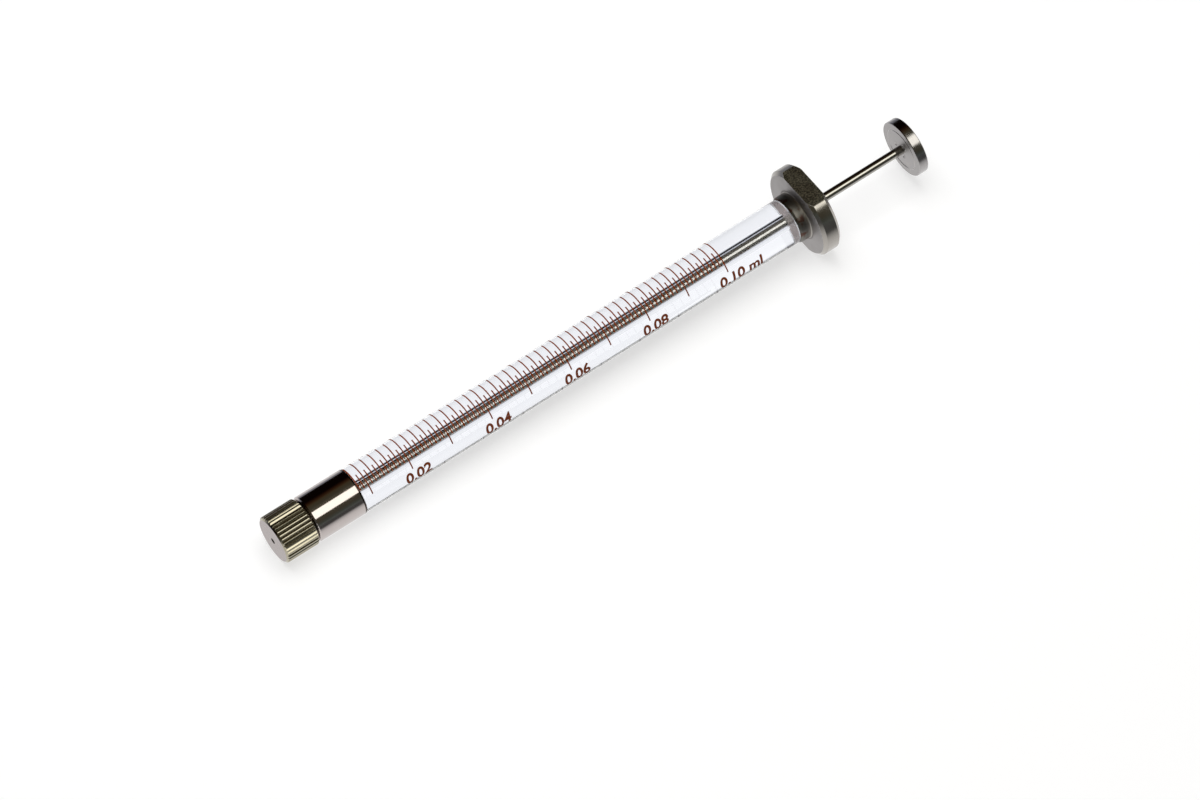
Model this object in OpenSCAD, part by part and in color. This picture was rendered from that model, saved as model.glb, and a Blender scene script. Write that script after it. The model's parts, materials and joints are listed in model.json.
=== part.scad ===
// Gastight microsyringe of 0.10 ml for removable needles, lying at rest, no needle fitted.
// The pieces are turned about one axis. Along that axis u is 0 at the scale's zero, where the
// glass ends inside the hub, and grows towards the plunger button. lay() puts that axis at rest:
// the needle nut and the lower flat of the flange touch z = 0. All sizes are in millimetres.

/* [Barrel] */
// Full volume of the scale, in microlitres
capacity = 100; // [60:5:125]
// Length of bore that holds the full volume
scale_length = 60; // [45:1:75]
// Outside diameter of the glass tube
glass_d = 6.17; // [6:0.01:6.6]
// Diameter that both ends of the glass are ground down to
spigot_d = 4.8; // [4.4:0.1:5.2]
// Clear glass between the last mark and the neck of the flange
bare_length = 10.95; // [7:0.05:16]
// Depth of the lead-in cone at the open end of the bore
bore_lead = 0.25; // [0.1:0.05:0.5]
// Thickness of the cement round the ground ends
cement_t = 0.08; // [0.04:0.01:0.12]
// Thickness of the cement line at the glass shoulders
cement_line = 0.02; // [0.01:0.01:0.06]
// Depth of the cement line below the surface of the glass
cement_depth = 0.1; // [0.04:0.02:0.2]

/* [Hub] */
// Length of glass that the hub covers
hub_cover = 4.7; // [3.6:0.05:6]
// Length of hub body ahead of the glass end
hub_floor = 2.2; // [1.6:0.05:3]
// Height of the hub above the glass
hub_proud = 0.065; // [0.03:0.005:0.2]
// Bevel at the nut end of the hub
hub_bevel = 0.2; // [0.1:0.02:0.3]
// Chamfer at the glass end of the hub
hub_chamfer = 0.1; // [0.04:0.01:0.15]
// Outside diameter of the thread on the nose
thread_d = 5; // [4.6:0.05:5.3]
// Length of the threaded nose
nose_length = 3.3; // [2.6:0.05:3.8]
// Width of the relief groove behind the thread
relief_w = 0.5; // [0.3:0.05:0.8]
// Depth of the relief groove and of the lead-in chamfer of the nose
relief_depth = 0.3; // [0.15:0.05:0.4]
// Bore of the nose that the needle seal slides in
gland_d = 2; // [1.6:0.05:2.4]

/* [Needle nut] */
// Outside diameter over the knurl
nut_d = 6.5; // [6.2:0.02:7.2]
// Length of the nut
nut_length = 4.87; // [4.4:0.03:5.6]
// Gap between the tightened nut and the hub
nut_gap = 0.15; // [0.05:0.05:0.3]
// Hole that the needle passes through
needle_hole_d = 0.8; // [0.5:0.05:1.2]
// Height of the chamfer round the front face
nut_front_chamfer = 0.3; // [0.15:0.05:0.4]
// Length of that chamfer along the axis
nut_front_bevel = 0.27; // [0.15:0.03:0.45]
// Height of the chamfer at the hub end
nut_rear_chamfer = 0.25; // [0.1:0.05:0.35]
// Number of teeth of the straight knurl
knurl_teeth = 36; // [24:2:48]
// Depth of the knurl's grooves
knurl_depth = 0.16; // [0.08:0.02:0.24]
// Share of each tooth's pitch that stays as crest
knurl_crest = 0.38; // [0.2:0.02:0.5]
// Radial clearance of the nut's thread on the nose
thread_clearance = 0.06; // [0.03:0.01:0.09]

/* [Needle seal] */
// Diameter of the seal's head
seal_head_d = 3.8; // [3:0.1:4.2]
// Thickness of the seal's head
seal_head_t = 0.35; // [0.25:0.05:0.6]
// Hole of the seal, which grips the needle
seal_hole_d = 0.4; // [0.3:0.02:0.46]
// Clearance of the untightened seal on every side
seal_play = 0.05; // [0.03:0.01:0.08]

/* [Flange] */
// Diameter of the round flange
flange_d = 12.2; // [11:0.1:14]
// Thickness of the flange
flange_t = 2.6; // [2:0.1:4]
// Distance between the two flats
flats_w = 10.3; // [9:0.1:10.8]
// Chamfer round both faces of the flange
flange_chamfer = 0.45; // [0.2:0.05:0.6]
// Diameter of the neck that holds the glass
neck_d = 6.5; // [6.3:0.02:7.4]
// Length of the neck ahead of the flange
neck_length = 1.6; // [1:0.05:3]
// Height of the chamfer at the neck's mouth
neck_chamfer = 0.14; // [0.06:0.02:0.2]
// Length of that chamfer along the axis
neck_bevel = 0.28; // [0.1:0.02:0.5]
// Fillet between the neck and the flange
neck_fillet = 0.2; // [0.1:0.05:0.4]
// Wall behind the end of the glass
flange_wall = 0.8; // [0.6:0.05:1.2]
// Clearance round the plunger rod in that wall
guide_clearance = 0.25; // [0.15:0.05:0.4]
// Countersink of the rod's hole
guide_sink = 0.35; // [0.2:0.05:0.5]

/* [Plunger] */
// Diameter of the plunger rod
rod_d = 1.2; // [0.9:0.05:1.25]
// Gap between the flange and the button with the plunger in
button_gap = 13.8; // [10:0.2:20]
// Diameter of the button
button_d = 7.8; // [6:0.1:10]
// Thickness of the button
button_t = 1.4; // [1.2:0.05:2.4]
// Chamfer round the button
button_chamfer = 0.1; // [0.05:0.01:0.2]
// Depth that the rod is set into the button
rod_socket = 0.95; // [0.6:0.05:1]
// Diameter of the shallow ring turned in the button's inner face
ring_d = 5.7; // [4.4:0.1:5.8]
// Width of that ring
ring_w = 0.14; // [0.08:0.02:0.3]
// Depth of that ring
ring_depth = 0.05; // [0.02:0.01:0.1]
// Number of punch marks that stake the rod in the button
punch_count = 3; // [2:1:6]
// Diameter of the circle that the punch marks lie on
punch_ring_d = 2.1; // [1.9:0.05:2.6]
// Diameter of a punch mark
punch_d = 0.36; // [0.2:0.02:0.5]
// Length of the plunger tip
tip_length = 3; // [2.4:0.1:4]
// Radial clearance of the plunger tip in the bore
tip_clearance = 0.015; // [0.01:0.005:0.03]
// Length of the rod's nose inside the tip
pin_length = 1.9; // [1.2:0.1:2]
// Diameter of the barb that holds the tip
barb_d = 0.86; // [0.7:0.02:0.9]
// Depth of the step behind the barb
barb_step = 0.1; // [0.05:0.01:0.12]
// Length of the barb
barb_length = 0.4; // [0.2:0.05:0.6]
// Clearance between the rod's nose and the tip
pin_clearance = 0.03; // [0.02:0.01:0.05]

/* [Scale] */
// Number of divisions
divisions = 100; // [50:10:100]
// First mark that stands clear of the hub
first_mark = 8; // [8:1:12]
// Width of a mark
mark_w = 0.15; // [0.1:0.01:0.2]
// Height of the fired ink above the glass
ink_t = 0.012; // [0.01:0.002:0.03]
// Turn of the scale from the flats, towards the front
scale_turn = 30.5; // [0:0.5:45]
// Reach of the tens' marks below the scale's centre line, in degrees
tens_low = 30; // [20:1:40]
// Reach of the tens' marks above the centre line, in degrees
tens_high = 92; // [80:1:120]
// Reach of the other marks below the centre line, in degrees
mark_low = 8; // [4:1:15]
// Reach of the even marks above the centre line, in degrees
even_high = 73; // [60:1:79]
// Reach of the odd marks above the centre line, in degrees
odd_high = 30; // [20:1:50]

/* [Hidden] */
$fn = 96;
// How far a cut runs past the face that it opens.
cut = 1;
// Angle between the points of a fillet.
fillet_step = 15;

// The bore follows from the volume and the length of the scale.
bore_r = sqrt(capacity / (PI * scale_length));
glass_r = glass_d / 2;
spigot_r = spigot_d / 2;

// Places along the axis, from the needle nut to the button.
hub_front = -hub_floor;
nose_front = hub_front - nose_length;
nut_rear = hub_front - nut_gap;
nut_front = nut_rear - nut_length;
seal_head_rear = nose_front - seal_play;
seal_head_front = seal_head_rear - seal_head_t;
nut_floor = seal_head_front - seal_play;
glass_front_shoulder = hub_cover + cement_line;
neck_front = scale_length + bare_length;
glass_rear_shoulder = neck_front - cement_line;
flange_front = neck_front + neck_length;
flange_rear = flange_front + flange_t;
socket_floor = flange_rear - flange_wall;
glass_rear = socket_floor - cement_t;
tip_front = seal_play;
tip_rear = tip_front + tip_length;
button_front = flange_rear + button_gap;
button_rear = button_front + button_t;

// Radii that several pieces share.
hub_r = glass_r + hub_proud;
socket_r = spigot_r + cement_t;
cement_r = glass_r - cement_depth;
thread_r = thread_d / 2;
gland_r = gland_d / 2;
nut_r = nut_d / 2;
nut_face_r = nut_r - nut_front_chamfer;
flange_r = flange_d / 2;
flange_face_r = flange_r - flange_chamfer;
neck_r = neck_d / 2;
rod_r = rod_d / 2;
guide_r = rod_r + guide_clearance;
tip_r = bore_r - tip_clearance;
barb_r = barb_d / 2;
barb_neck_r = barb_r - barb_step;
button_r = button_d / 2;
pin_front = tip_rear - pin_length;

// The part rests on the front rim of the nut's knurl and the front edge of the lower flat.
rim_u = nut_front + nut_front_bevel;
tilt = atan((flats_w / 2 - nut_r) / (flange_front - rim_u));
axis_z = nut_r * cos(tilt) - rim_u * sin(tilt);
low_x = nut_front * cos(tilt) - nut_face_r * sin(tilt);
high_x = button_rear * cos(tilt) + (button_r - button_chamfer) * sin(tilt);
mid_x = (low_x + high_x) / 2;

// Lays the axis of the syringe along +X, at its rest tilt, over the middle of the footprint.
module lay() {
    translate([-mid_x, 0, axis_z]) rotate([0, -tilt, 0]) children();
}

// Turns a profile of [place along the axis, radius] points about the axis.
module turned(profile) {
    rotate([0, 90, 0]) rotate_extrude() polygon([for (p = profile) [p[1], p[0]]]);
}

// A plain cylinder along the axis.
module bar(u0, u1, r) {
    translate([u0, 0, 0]) rotate([0, 90, 0]) cylinder(h = u1 - u0, r = r);
}

// Ball about the axis whose skin passes through the rings [u0, r0] and [u1, r1]. Between the two
// rings it is a chamfer, crowned by a few microns, and a flat cut across it leaves round edges.
module crown(u0, r0, u1, r1) {
    centre = (u1 ^ 2 + r1 ^ 2 - u0 ^ 2 - r0 ^ 2) / (2 * (u1 - u0));
    translate([centre, 0, 0]) rotate([0, 90, 0]) sphere(r = norm([u1 - centre, r1]));
}

// Thick-walled tube, ground down at both ends for the hub and the flange.
module glass_barrel() {
    color("lavender", 0.4) lay() turned([
        [0, bore_r], [0, spigot_r], [glass_front_shoulder, spigot_r],
        [glass_front_shoulder, glass_r], [glass_rear_shoulder, glass_r],
        [glass_rear_shoulder, spigot_r], [glass_rear, spigot_r],
        [glass_rear, bore_r + bore_lead], [glass_rear - bore_lead, bore_r]
    ]);
}

// One mark: a thin band of ink bent round the glass, between two angles from the centre line,
// which lies scale_turn from the top of the barrel, towards the front.
module mark(place, low, high) {
    rotate([0, 90, 0]) rotate([0, 0, 180 + scale_turn - high]) rotate_extrude(angle = low + high)
        translate([glass_r, place - mark_w / 2]) square([ink_t, mark_w]);
}

// Tens reach furthest, even marks are long and odd marks are short.
module scale_marks() {
    color("sienna") lay() for (i = [first_mark:divisions]) {
        place = i * scale_length / divisions;
        if (i % 10 == 0) mark(place, tens_low, tens_high);
        else if (i % 2 == 0) mark(place, mark_low, even_high);
        else mark(place, mark_low, odd_high);
    }
}

// Polished hub: a sleeve over the glass, with a threaded nose for the nut.
module barrel_hub() {
    color("silver") lay() turned([
        [nose_front, gland_r], [nose_front, thread_r - relief_depth],
        [nose_front + relief_depth, thread_r], [hub_front - relief_w, thread_r],
        [hub_front - relief_w, thread_r - relief_depth], [hub_front, thread_r - relief_depth],
        [hub_front, hub_r - hub_bevel], [hub_front + hub_bevel, hub_r],
        [hub_cover - hub_chamfer, hub_r], [hub_cover, hub_r - hub_chamfer],
        [hub_cover, socket_r], [-cement_t, socket_r], [-cement_t, gland_r]
    ]);
}

// Cement between the hub and the ground front end of the glass.
module hub_cement() {
    color("gray") lay() turned([
        [-cement_t, gland_r], [-cement_t, socket_r], [hub_cover, socket_r],
        [hub_cover, cement_r], [glass_front_shoulder, cement_r],
        [glass_front_shoulder, spigot_r], [0, spigot_r], [0, gland_r]
    ]);
}

// Outline of the straight knurl, with one crest on the row's vertical line.
module knurl_outline() {
    pitch = 360 / knurl_teeth;
    half_crest = pitch * knurl_crest / 2;
    root_r = nut_r - knurl_depth;
    polygon([for (i = [0:knurl_teeth - 1]) let (a = i * pitch) each [
        [nut_r * cos(a - half_crest), nut_r * sin(a - half_crest)],
        [nut_r * cos(a), nut_r * sin(a)],
        [nut_r * cos(a + half_crest), nut_r * sin(a + half_crest)],
        [root_r * cos(a + pitch / 2), root_r * sin(a + pitch / 2)]
    ]]);
}

// Knurled nut: chamfered at both ends, bored for the thread, with the needle's hole in front.
module needle_nut() {
    color("gray") lay() difference() {
        intersection() {
            translate([nut_front, 0, 0]) rotate([0, 90, 0]) linear_extrude(height = nut_length)
                knurl_outline();
            turned([
                [nut_front, 0], [nut_front, nut_face_r], [rim_u, nut_r],
                [nut_rear - nut_rear_chamfer, nut_r], [nut_rear, nut_r - nut_rear_chamfer],
                [nut_rear, 0]
            ]);
        }
        bar(nut_front - cut, nut_floor + cut, needle_hole_d / 2);
        bar(nut_floor, nut_rear + cut, thread_r + thread_clearance);
    }
}

// Seal with a head in the nut and a stem in the nose, bored for the needle.
module needle_seal() {
    hole_r = seal_hole_d / 2;
    stem_r = gland_r - seal_play;
    color("white") lay() turned([
        [seal_head_front, hole_r], [seal_head_front, seal_head_d / 2],
        [seal_head_rear, seal_head_d / 2], [seal_head_rear, stem_r],
        [-seal_play, stem_r], [-seal_play, hole_r]
    ]);
}

// Finger flange with two flats, turned in one with the neck that holds the glass.
module barrel_flange() {
    fillet = [for (a = [0:fillet_step:90])
        [flange_front - neck_fillet * (1 - sin(a)), neck_r + neck_fillet * (1 - cos(a))]];
    color("darkgray") lay() difference() {
        union() {
            intersection() {
                bar(flange_front, flange_rear, flange_r);
                crown(flange_front, flange_face_r, flange_front + flange_chamfer, flange_r);
                crown(flange_rear, flange_face_r, flange_rear - flange_chamfer, flange_r);
                translate([flange_front, -flange_r, -flats_w / 2])
                    cube([flange_t, flange_d, flats_w]);
            }
            turned(concat(
                [[neck_front, 0], [neck_front, neck_r - neck_chamfer],
                    [neck_front + neck_bevel, neck_r]],
                fillet,
                [[socket_floor, neck_r + neck_fillet], [socket_floor, 0]]
            ));
        }
        bar(neck_front - cut, socket_floor, socket_r);
        turned([
            [neck_front, 0], [neck_front, guide_r], [flange_rear - guide_sink, guide_r],
            [flange_rear, guide_r + guide_sink], [flange_rear + cut, guide_r + guide_sink],
            [flange_rear + cut, 0]
        ]);
    }
}

// Cement between the flange and the ground rear end of the glass.
module flange_cement() {
    color("gray") lay() turned([
        [glass_rear_shoulder, spigot_r], [glass_rear_shoulder, cement_r],
        [neck_front, cement_r], [neck_front, socket_r],
        [socket_floor, socket_r], [socket_floor, bore_r + bore_lead],
        [glass_rear, bore_r + bore_lead], [glass_rear, spigot_r]
    ]);
}

// Plunger rod, with a barbed nose at the tip end and its other end set in the button.
module plunger_rod() {
    color("dimgray") lay() turned([
        [pin_front, 0], [pin_front, barb_neck_r], [pin_front + barb_step, barb_r],
        [pin_front + barb_length, barb_r], [pin_front + barb_length, barb_neck_r],
        [tip_rear + pin_clearance, barb_neck_r], [tip_rear + pin_clearance, rod_r],
        [button_front + rod_socket, rod_r], [button_front + rod_socket, 0]
    ]);
}

// Soft tip that seals in the bore, hollow for the barbed nose.
module plunger_tip() {
    hollow_front = pin_front - pin_clearance;
    hollow_rear = pin_front + barb_length + pin_clearance;
    color("whitesmoke") lay() turned([
        [tip_front, 0], [tip_front, tip_r], [tip_rear, tip_r],
        [tip_rear, barb_neck_r + pin_clearance], [hollow_rear, barb_neck_r + pin_clearance],
        [hollow_rear, barb_r + pin_clearance], [hollow_front, barb_r + pin_clearance],
        [hollow_front, 0]
    ]);
}

// Flat button, staked on the rod by punch marks in a circle round it.
module plunger_button() {
    color("silver") lay() difference() {
        turned([
            [button_front, 0], [button_front, button_r - button_chamfer],
            [button_front + button_chamfer, button_r], [button_rear - button_chamfer, button_r],
            [button_rear, button_r - button_chamfer], [button_rear, 0]
        ]);
        bar(button_front - cut, button_front + rod_socket, rod_r);
        difference() {
            bar(button_front - cut, button_front + ring_depth, (ring_d + ring_w) / 2);
            bar(button_front - 2 * cut, button_front + cut, (ring_d - ring_w) / 2);
        }
        for (i = [0:punch_count - 1])
            rotate([i * 360 / punch_count, 0, 0]) translate([button_front, 0, punch_ring_d / 2])
                sphere(d = punch_d);
    }
}

glass_barrel();
scale_marks();
barrel_hub();
hub_cement();
needle_nut();
needle_seal();
barrel_flange();
flange_cement();
plunger_rod();
plunger_tip();
plunger_button();
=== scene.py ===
# %% [markdown]
# # A gastight microsyringe, piece by piece
# The syringe is a thick glass tube with a steel hub and a finger flange cemented on its ends, a
# knurled nut for the needle, and a steel plunger. Nearly every piece is turned on a lathe, so
# nearly every piece here is a profile spun about one axis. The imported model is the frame: it
# says where that axis lies and where each piece starts and ends.

import json
import math

import bpy
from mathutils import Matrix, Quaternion, Vector


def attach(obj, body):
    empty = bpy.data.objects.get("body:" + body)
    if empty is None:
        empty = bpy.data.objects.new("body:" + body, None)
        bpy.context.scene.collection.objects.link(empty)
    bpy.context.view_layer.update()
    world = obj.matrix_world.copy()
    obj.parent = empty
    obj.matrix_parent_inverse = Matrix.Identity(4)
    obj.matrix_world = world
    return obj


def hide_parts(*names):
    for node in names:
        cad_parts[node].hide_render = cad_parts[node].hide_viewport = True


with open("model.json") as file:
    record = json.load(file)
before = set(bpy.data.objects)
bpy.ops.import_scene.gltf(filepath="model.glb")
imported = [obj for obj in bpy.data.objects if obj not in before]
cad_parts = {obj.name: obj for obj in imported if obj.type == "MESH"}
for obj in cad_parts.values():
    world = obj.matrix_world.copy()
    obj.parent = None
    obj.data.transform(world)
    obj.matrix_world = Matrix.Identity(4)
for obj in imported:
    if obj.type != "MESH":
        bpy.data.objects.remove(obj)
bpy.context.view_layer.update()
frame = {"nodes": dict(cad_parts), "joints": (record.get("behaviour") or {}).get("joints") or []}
nodes = frame["nodes"]
joints = {joint["name"]: joint for joint in frame["joints"]}
print("pieces in the frame:", ", ".join(sorted(nodes)))

# %% [markdown]
# The syringe lies tilted, because its nut is narrower than its flange. Modelling on a slant is
# awkward, so each piece is made on a straight bench, in millimetres along X, and laid in its
# place at the end. The plunger's joints give the axis. Places along it are counted from the
# front end of the glass, which is the zero of the scale.

# %% The axis of the syringe
MM = 0.001
along = Vector(joints["plunger_slide"]["axis"]).normalized()
on_axis = Vector(joints["plunger_spin"]["pos_m"])
tilt = math.atan2(along.z, along.x)


def span(node, origin):
    """First and last place of a node along the axis and its largest radius, in mm."""
    spots = [vertex.co - origin for vertex in nodes[node].data.vertices]
    places = [spot.dot(along) for spot in spots]
    radius = max((spot - along * place).length for spot, place in zip(spots, places))
    return min(places) / MM, max(places) / MM, radius / MM


scale_zero = on_axis + along * span("glass_barrel", on_axis)[0] * MM
print("tilt of the axis:", round(math.degrees(tilt), 3), "degrees")

# %% The ends and the radius of each piece, in mm
FLANGE_T = 2.6
glass_front, glass_rear, glass_r = span("glass_barrel", scale_zero)
nose_front, hub_rear, hub_r = span("barrel_hub", scale_zero)
nut_front, nut_rear, nut_r = span("needle_nut", scale_zero)
seal_front, seal_rear, seal_r = span("needle_seal", scale_zero)
neck_front, flange_rear, flange_r = span("barrel_flange", scale_zero)
rod_front, rod_rear, rod_r = span("plunger_rod", scale_zero)
button_front, button_rear, button_r = span("plunger_button", scale_zero)
tip_front, tip_rear, tip_r = span("plunger_tip", scale_zero)
front_cement, _, cement_r = span("hub_cement", scale_zero)
flange_front = flange_rear - FLANGE_T
print("glass tube:", round(glass_rear - glass_front, 2), "mm long, radius", round(glass_r, 3))

# %% [markdown]
# A lathe shows its work: sharp outlines, tiny eased corners that catch the light, and a round
# form all over. In edit mode one point is extruded along the profile and the chain of edges is
# spun about X. The corners are eased in the profile itself, as a stone does it on the lathe,
# because a bevel made later would have to find them again. Long stretches are divided, because a
# spun face that is as thin as a needle mirrors the room in broken lines. Weighted normals then
# keep the flat and round faces true, and leave the turn of the light to the eased corners.

# %% Profiles
MERGE = 0.0002
EASE = 0.03
EASE_SHARE = 0.4
EASE_POINTS = 3
LONGEST = 1.5


def eased(profile, reach=EASE):
    """The profile with each corner rounded over the given reach, except those on the axis."""
    ring = [Vector(point) for point in profile]
    smooth = []
    for before, corner, after in zip(ring[-1:] + ring[:-1], ring, ring[1:] + ring[:1]):
        if corner.y < MERGE:
            smooth.append(corner)
            continue
        back, ahead = before - corner, after - corner
        start = corner + back.normalized() * min(reach, back.length * EASE_SHARE)
        end = corner + ahead.normalized() * min(reach, ahead.length * EASE_SHARE)
        for step in range(EASE_POINTS + 1):
            share = step / EASE_POINTS
            smooth.append(start.lerp(corner, share).lerp(corner.lerp(end, share), share))
    return smooth


def divided(profile):
    """The profile with extra points, so that no stretch is longer than LONGEST."""
    ring = [Vector(point) for point in profile]
    fine = ring[:1]
    for first, last in zip(ring, ring[1:]):
        count = max(1, math.ceil((last - first).length / LONGEST))
        fine += [first.lerp(last, step / count) for step in range(1, count + 1)]
    return fine


print("corners are eased over", EASE, "mm")


# %% The lathe
TURN_STEPS = 192


def work_alone(piece):
    """Selects one piece and nothing else."""
    bpy.ops.object.select_all(action="DESELECT")
    piece.select_set(True)
    bpy.context.view_layer.objects.active = piece


def start_point(name, point):
    """A new piece in edit mode, with one selected vertex at the point."""
    bpy.ops.object.select_all(action="DESELECT")
    bpy.ops.mesh.primitive_plane_add(size=1.0)
    piece = bpy.context.object
    piece.name = name
    piece.data.name = name
    bpy.ops.object.mode_set(mode="EDIT")
    bpy.ops.mesh.merge(type="CENTER")
    bpy.ops.transform.translate(value=point)
    return piece


def draw_on(profile):
    """Extrudes the selected vertex along the rest of a profile."""
    for (place, radius), (next_place, next_radius) in zip(profile, profile[1:]):
        move = (next_place - place, 0, next_radius - radius)
        bpy.ops.mesh.extrude_region_move(TRANSFORM_OT_translate={"value": move})


def heal():
    """Merges the doubles of the piece in edit mode and turns its faces outwards."""
    bpy.ops.mesh.select_all(action="SELECT")
    bpy.ops.mesh.remove_doubles(threshold=MERGE)
    bpy.ops.mesh.normals_make_consistent(inside=False)
    bpy.ops.object.mode_set(mode="OBJECT")


def turned(name, profile, steps=TURN_STEPS):
    """A turned piece from (place, radius) points. A profile that is off the axis is closed."""
    loop = profile[0][1] > MERGE or profile[-1][1] > MERGE
    profile = divided(list(profile) + [profile[0]] if loop else profile)
    piece = start_point(name, (profile[0][0], 0, profile[0][1]))
    draw_on(profile)
    bpy.ops.mesh.select_all(action="SELECT")
    bpy.ops.mesh.spin(steps=steps, angle=math.tau, center=(0, 0, 0), axis=(1, 0, 0))
    heal()
    return piece


print("a turned piece has", TURN_STEPS, "steps, if it asks for no other number")

# %% From the bench to its place
SMOOTH = 30.0


def lay(piece, body, finish, smooth=SMOOTH):
    """Takes a piece from the bench to its place at rest, and gives it its body and finish."""
    work_alone(piece)
    bpy.ops.object.shade_smooth_by_angle(angle=math.radians(smooth))
    weights = piece.modifiers.new("flat faces", "WEIGHTED_NORMAL")
    weights.keep_sharp = True
    bpy.ops.object.modifier_apply(modifier=weights.name)
    piece.scale = (MM, MM, MM)
    piece.rotation_euler = (0, -tilt, 0)
    piece.location = scale_zero
    bpy.ops.object.transform_apply(location=True, rotation=True, scale=True)
    piece.data.materials.clear()
    piece.data.materials.append(finish)
    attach(piece, body)
    print(piece.name, "has", len(piece.data.polygons), "faces")


print("scale zero lies at", [round(value / MM, 2) for value in scale_zero], "mm")

# %% [markdown]
# Shader maths reads best as sums. A small class wraps a socket, so that a product of two masks
# is written as a product and adds its Math node by itself. One method adds any other node.

# %% Sockets that do sums
class Wire:
    """A shader socket, or the start of one, that takes part in Python expressions."""

    def __init__(self, tree, socket=None):
        self.tree = tree
        self.socket = socket

    def node(self, kind, settings=None, inputs=None, out=0):
        """Adds a node: its settings first, then the values or wires of its sockets."""
        made = self.tree.nodes.new(kind)
        for name, value in (settings or {}).items():
            if name == "stops":
                made.color_ramp.elements.remove(made.color_ramp.elements[0])
                for place, colour in value:
                    made.color_ramp.elements.new(place).color = (*colour, 1)
                made.color_ramp.elements.remove(made.color_ramp.elements[-1])
            else:
                setattr(made, name, value)
        for name, value in (inputs or {}).items():
            if isinstance(value, Wire):
                self.tree.links.new(value.socket, made.inputs[name])
            else:
                made.inputs[name].default_value = value
        return Wire(self.tree, made.outputs[out])

    def maths(self, operation, *values):
        """A Math node on the given numbers and wires."""
        return self.node("ShaderNodeMath", {"operation": operation}, dict(enumerate(values)))

    def __add__(self, other):
        return self.maths("ADD", self, other)

    def __radd__(self, other):
        return self.maths("ADD", other, self)

    def __sub__(self, other):
        return self.maths("SUBTRACT", self, other)

    def __rsub__(self, other):
        return self.maths("SUBTRACT", other, self)

    def __mul__(self, other):
        return self.maths("MULTIPLY", self, other)

    def __rmul__(self, other):
        return self.maths("MULTIPLY", other, self)

    def __truediv__(self, other):
        return self.maths("DIVIDE", self, other)

    def __pow__(self, other):
        return self.maths("POWER", self, other)

    def band(self, low, high):
        """0 at low and beyond it, 1 at high and beyond it, and a smooth step between them."""
        ends = {"Value": self, "From Min": low, "From Max": high}
        return self.node("ShaderNodeMapRange", {"interpolation_type": "SMOOTHSTEP"}, ends)

    def mix(self, low, high):
        """The first colour where this mask is 0, the second where it is 1. Either may be a wire."""
        low, high = (end if isinstance(end, Wire) else (*end, 1) for end in (low, high))
        ends = {0: self, 6: low, 7: high}
        return self.node("ShaderNodeMix", {"data_type": "RGBA"}, ends, out=2)

    def noise(self, scale, detail=2.0):
        """Noise over this place vector, with values round 0.5."""
        ends = {"Vector": self, "Scale": scale, "Detail": detail}
        return self.node("ShaderNodeTexNoise", {}, ends)


# %% [markdown]
# A finish has to know where it is on the piece: turning lines follow the lathe, so they depend
# only on the place along the axis and the distance from it. Object coordinates are mapped back
# to the bench, where both are simple to write. The mask `faced` is 1 on faces square to the axis,
# which the tool cut from the side.

# %% Starting a finish
FACED = (0.8, 0.95)


class Finish:
    """A material with its Principled shader and its place on the bench, in mm."""

    def __init__(self, name, constants):
        self.material = bpy.data.materials.new(name)
        self.material.use_nodes = True
        self.tree = self.material.node_tree
        self.shader = self.tree.nodes["Principled BSDF"]
        for socket, value in constants.items():
            self.shader.inputs[socket].default_value = value
        start = Wire(self.tree).node("ShaderNodeTexCoord", out="Object")
        bench = {
            "Vector": start,
            "Location": scale_zero,
            "Rotation": (0, -tilt, 0),
            "Scale": (MM, MM, MM),
        }
        self.place = start.node("ShaderNodeMapping", {"vector_type": "TEXTURE"}, bench)
        split = self.place.node("ShaderNodeSeparateXYZ", {}, {"Vector": self.place})
        ends = split.socket.node.outputs
        self.along, self.side, self.height = (Wire(self.tree, end) for end in ends)
        self.radius = (self.side * self.side + self.height * self.height) ** 0.5
        skin = start.node("ShaderNodeNewGeometry", out="Normal")
        pair = {0: skin, 1: along}
        lean = start.node("ShaderNodeVectorMath", {"operation": "DOT_PRODUCT"}, pair, out="Value")
        self.faced = lean.maths("ABSOLUTE", lean).band(*FACED)

    def vector(self, x, y, z):
        """A place vector from three numbers or wires."""
        return self.place.node("ShaderNodeCombineXYZ", {}, {"X": x, "Y": y, "Z": z})

    def feed(self, socket, wire):
        """Links a wire to one of the shader's sockets."""
        self.tree.links.new(wire.socket, self.shader.inputs[socket])

    def wire(self, socket):
        """The wire that now feeds one of the shader's sockets."""
        return Wire(self.tree, self.shader.inputs[socket].links[0].from_socket)

    def bump(self, height, rise):
        """A bump of the given height wire, whose rise is in mm."""
        ends = {"Height": height, "Strength": 1.0, "Distance": rise * MM}
        self.feed("Normal", height.node("ShaderNodeBump", {}, ends))


# %% [markdown]
# The hub is polished until it mirrors the room, but a lathe's lines and some handling marks stay:
# the lines vary along the axis on the sleeve and along the radius on the end faces, so noise of
# both at once draws them everywhere. Smudges make some places a little duller. Faces that were
# cut square to the axis are rougher than the sleeve, so each steel says by how much.

# %% How a steel is made
LINE_DETAIL = 4.0
LINE_SHARE = 0.6
LINE_ROUGHNESS = 0.05
CLOUDS_PER_MM = 0.55
CLOUD_DETAIL = 3.0
CLOUD_BAND = (0.35, 0.7)


def turning_lines(finish, per_mm):
    """Fine grooves that run round the piece, as a turning tool leaves them."""
    lathe = finish.vector(finish.along * per_mm, finish.radius * per_mm, 0.0)
    return lathe.noise(1.0, LINE_DETAIL)


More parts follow.
